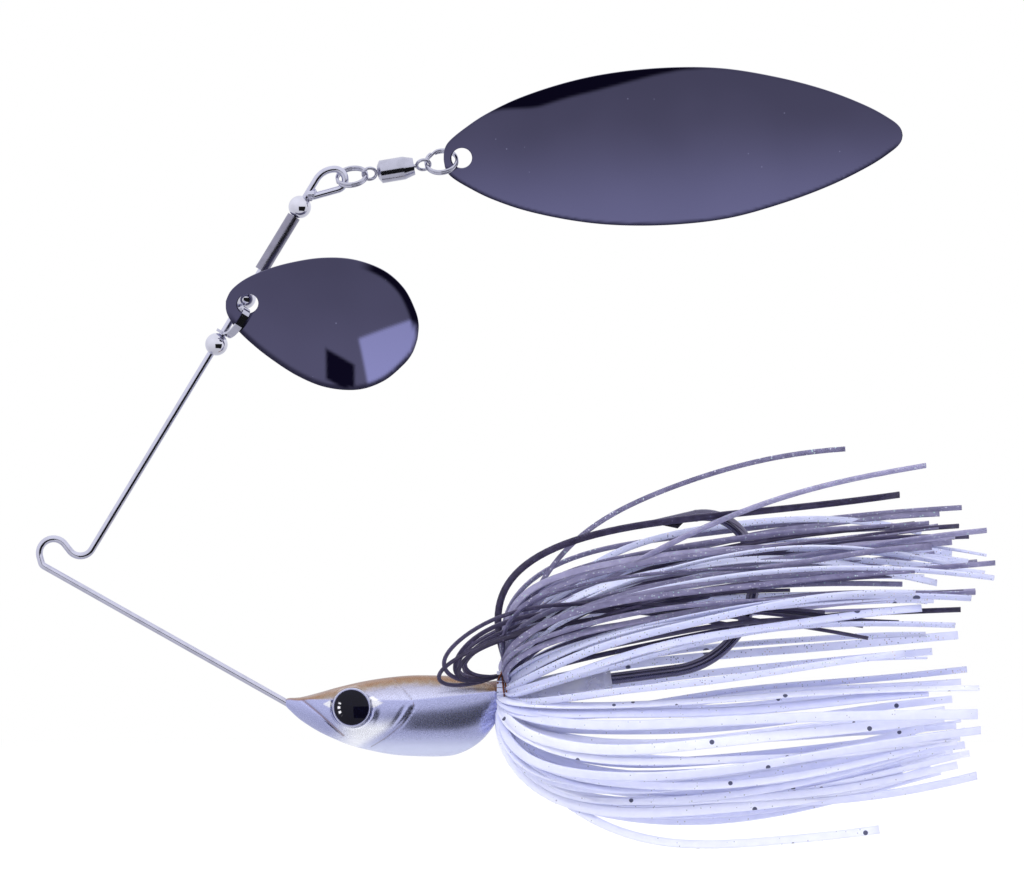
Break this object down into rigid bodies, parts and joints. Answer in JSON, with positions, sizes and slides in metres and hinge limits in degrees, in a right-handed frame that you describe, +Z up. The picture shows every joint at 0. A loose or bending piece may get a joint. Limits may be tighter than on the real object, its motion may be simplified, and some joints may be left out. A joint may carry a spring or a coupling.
{
  "type": "spinnerbait",
  "caption": "Fishing lure: bent wire arm carrying a swinging front blade on a clevis and a swivel-hung rear blade, above a fish-head weight with hook, keeper and strand skirt",
  "frame": {"origin": "centre of the line-tie bend in the wire, where the fishing line is tied", "axes": "+X towards the tail of the skirt, +Z up towards the blades, +Y completes the right hand; wire and hook lie in the XZ plane"},
  "size_m": [0.1223, 0.024, 0.0992],
  "materials": {
    "wire_steel": "drawn stainless spring wire, satin-bright",
    "bead_steel": "polished round beads",
    "bright_steel": "bright nickel plate",
    "tube_steel": "grey drawn tube, satin",
    "dark_nickel": "black nickel, mirror polished",
    "head_paint": "pearl silver flanks fading to an amber back, clear-coated",
    "eye_foil": "silver foil disc",
    "eye_gloss": "clear domed resin over a black pupil",
    "hook_nickel": "black nickel plate",
    "keeper_clear": "milky translucent soft plastic",
    "copper": "bare copper wire",
    "silicone_white": "milky white silicone with sparse black flecks",
    "silicone_pearl": "pearl silicone with fine glitter",
    "silicone_smoke": "translucent smoke silicone with fine glitter",
    "silicone_dark": "black-brown silicone"
  },
  "bodies": {
    "lure": {"wire_form": "wire_steel", "lower_bead": "bead_steel", "head_casting": "head_paint", "eye_disc_left": "eye_foil", "eye_disc_right": "eye_foil", "eye_dome_left": "eye_gloss", "eye_dome_right": "eye_gloss", "hook": "hook_nickel", "trailer_keeper": "keeper_clear", "tie_wire": "copper", "skirt_white": "silicone_white", "skirt_pearl": "silicone_pearl", "skirt_smoke": "silicone_smoke", "skirt_dark": "silicone_dark", "skirt_loops": "silicone_dark"},
    "bearing_bead": {"bearing_bead": "bead_steel"},
    "clevis": {"clevis": "bright_steel"},
    "front_blade": {"front_blade": "dark_nickel"},
    "spacer_tube": {"spacer_tube": "tube_steel"},
    "upper_bead": {"upper_bead": "bead_steel"},
    "front_ring": {"front_ring": "bright_steel"},
    "swivel_front_eye": {"swivel_front_eye": "bright_steel"},
    "swivel_barrel": {"swivel_barrel": "bright_steel"},
    "swivel_rear_eye": {"swivel_rear_eye": "bright_steel"},
    "rear_ring": {"rear_ring": "bright_steel"},
    "rear_blade": {"rear_blade": "dark_nickel"}
  },
  "joints": [
    {"name": "bearing_bead_slide", "type": "slide", "parent": "lure", "child": "bearing_bead", "axis": [0.5188, 0, 0.8549], "range_m": [0, 0.00265]},
    {"name": "clevis_spin", "type": "hinge", "parent": "bearing_bead", "child": "clevis", "pos_m": [0.02266, 0, 0.02969], "axis": [0.5188, 0, 0.8549], "continuous": true},
    {"name": "front_blade_swing", "type": "hinge", "parent": "clevis", "child": "front_blade", "pos_m": [0.02499, -0.00213, 0.03196], "axis": [0.3736, -0.9239, -0.0828], "range_deg": [-12, 12]},
    {"name": "spacer_spin", "type": "hinge", "parent": "lure", "child": "spacer_tube", "pos_m": [0.02878, 0, 0.03978], "axis": [0.5188, 0, 0.8549], "continuous": true},
    {"name": "upper_bead_spin", "type": "hinge", "parent": "lure", "child": "upper_bead", "pos_m": [0.03152, 0, 0.0443], "axis": [0.5188, 0, 0.8549], "continuous": true},
    {"name": "front_ring_swing", "type": "hinge", "parent": "lure", "child": "front_ring", "pos_m": [0.03599, 0, 0.0478], "axis": [0, -1, 0], "range_deg": [-10, 35]},
    {"name": "swivel_swing", "type": "hinge", "parent": "front_ring", "child": "swivel_front_eye", "pos_m": [0.04008, 0, 0.04848], "axis": [0.097, -0.809, -0.5797], "range_deg": [-8, 25]},
    {"name": "barrel_spin", "type": "hinge", "parent": "swivel_front_eye", "child": "swivel_barrel", "pos_m": [0.04381, 0, 0.0491], "axis": [0.9863, 0, 0.165], "continuous": true},
    {"name": "rear_eye_spin", "type": "hinge", "parent": "swivel_barrel", "child": "swivel_rear_eye", "pos_m": [0.04588, 0, 0.04945], "axis": [0.9863, 0, 0.165], "continuous": true},
    {"name": "rear_ring_swing", "type": "hinge", "parent": "swivel_rear_eye", "child": "rear_ring", "pos_m": [0.04768, 0, 0.04975], "axis": [-0.1147, -0.7193, 0.6851], "range_deg": [-8, 20]},
    {"name": "rear_blade_swing", "type": "hinge", "parent": "rear_ring", "child": "rear_blade", "pos_m": [0.05127, 0.0002, 0.05001], "axis": [0.1187, -0.6947, -0.7095], "range_deg": [-6, 30]}
  ]
}
